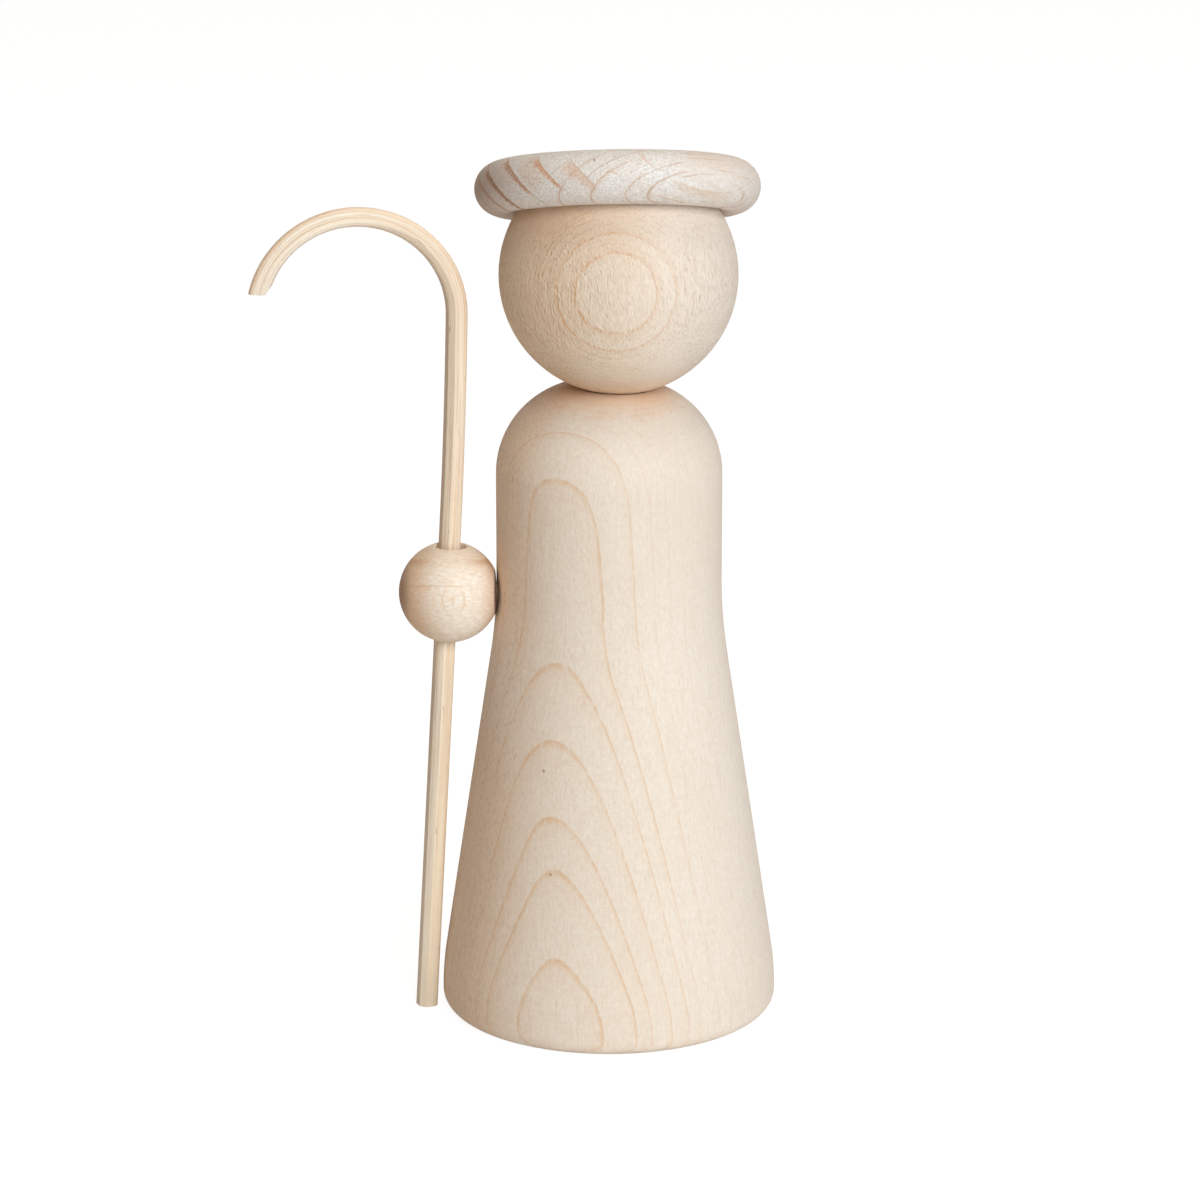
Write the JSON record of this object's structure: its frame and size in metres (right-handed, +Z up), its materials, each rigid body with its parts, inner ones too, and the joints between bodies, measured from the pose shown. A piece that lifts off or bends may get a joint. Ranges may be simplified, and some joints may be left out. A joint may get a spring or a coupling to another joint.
{
  "type": "peg doll",
  "caption": "Standing wooden peg doll: a flared turned body, a ball head that turns, a tipped ring for a hat, and a bent crook that slides in a bead hand.",
  "frame": {"origin": "centre of the body's flat foot, on the surface that the doll stands on", "axes": "+Z up along the body, -Y the doll's front, -X the side where the hand and the crook are"},
  "size_m": [0.0774, 0.0502, 0.1333],
  "materials": {
    "body_wood": "bare sanded maple, pale cream with tan growth lines, matte",
    "head_wood": "bare sanded beech, warm tan with ring figure on the front, matte",
    "hat_wood": "bare coarse-grained wood, greyish white with pink-brown growth bands, matte",
    "bead_wood": "bare sanded beech, warm tan, matte",
    "crook_wood": "bare steam-bent cane, cream with long darker pores, matte",
    "dowel_wood": "bare beech dowel, matte"
  },
  "bodies": {
    "body": {"body": "body_wood", "neck_dowel": "dowel_wood", "hand_dowel": "dowel_wood", "hand_bead": "bead_wood"},
    "head": {"head": "head_wood", "hat_ring": "hat_wood"},
    "crook": {"crook": "crook_wood"}
  },
  "joints": [
    {"name": "head_turn", "type": "hinge", "parent": "body", "child": "head", "pos_m": [0.00135, 0, 0.1124], "axis": [0, 0, 1], "range_deg": [-170, 0]},
    {"name": "crook_lift", "type": "slide", "parent": "body", "child": "crook", "axis": [0.0556, 0.0049, 0.9984], "range_m": [0, 0.075]}
  ]
}
